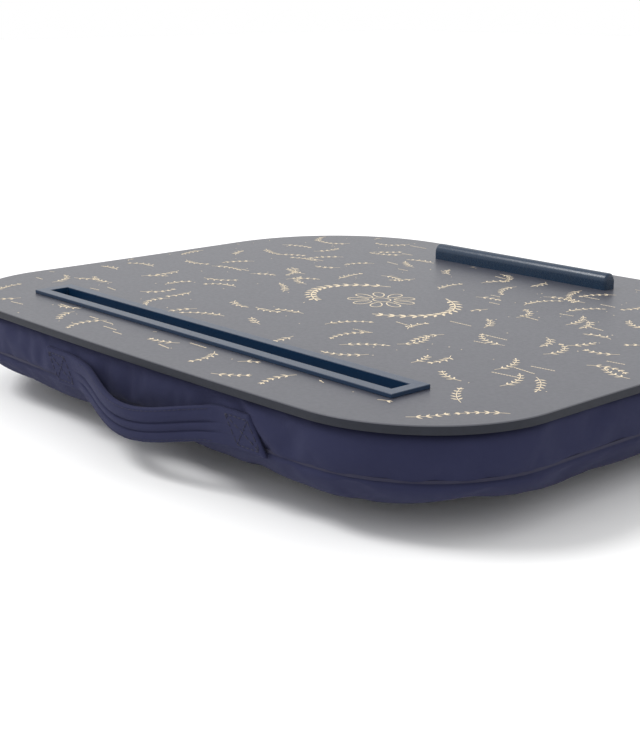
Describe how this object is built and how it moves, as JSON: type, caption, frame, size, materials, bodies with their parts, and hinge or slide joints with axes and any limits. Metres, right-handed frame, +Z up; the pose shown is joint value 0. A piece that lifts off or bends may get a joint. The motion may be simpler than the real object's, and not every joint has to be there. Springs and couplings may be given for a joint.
{
  "type": "cushioned lap tray",
  "caption": "Thin printed board on a bead-filled fabric cushion, with a shallow slot for a phone or tablet, a half-round stop bar and a sewn strap handle.",
  "frame": {"origin": "on the surface the cushion rests on, below the middle of the board", "axes": "+X along the long side, +Y towards the handle side, -Y towards the user, +Z up"},
  "size_m": [0.4472, 0.383, 0.0705],
  "materials": {
    "printed_sheet": "satin, printed",
    "board": "painted fibreboard edge",
    "slot_plastic": "satin moulded",
    "bar_plastic": "satin moulded",
    "screw_steel": "zinc plated",
    "glue": "hot-melt",
    "inner_cloth": "woven",
    "cover_cloth": "fine plain weave",
    "bag_cloth": "thin plain weave",
    "beads": "loose foam beads",
    "strap_cloth": "fine plain weave, folded and sewn",
    "webbing": "ribbed tape",
    "thread": "sewing thread"
  },
  "bodies": {
    "tray": {"top_laminate": "printed_sheet", "tray_board": "board", "slot_insert": "slot_plastic", "stop_bar": "bar_plastic", "stop_bar_screws": "screw_steel", "glue_layer": "glue", "cushion_top_panel": "inner_cloth", "cushion_side_band": "cover_cloth", "cushion_bottom_panel": "cover_cloth", "seam_allowance": "inner_cloth", "bead_bag": "bag_cloth", "bead_filling": "beads", "handle_tab_left": "strap_cloth", "handle_tab_right": "strap_cloth", "tab_stitches": "thread", "handle_backing_patches": "inner_cloth"},
    "handle": {"handle_strap_face": "strap_cloth", "handle_strap_webbing": "webbing", "handle_strap_lining": "strap_cloth", "handle_stitches": "thread"}
  },
  "joints": [
    {"name": "handle_swing", "type": "hinge", "parent": "tray", "child": "handle", "pos_m": [-0.02, 0.1852, 0.048], "axis": [1, 0, 0], "range_deg": [0, 60]}
  ]
}
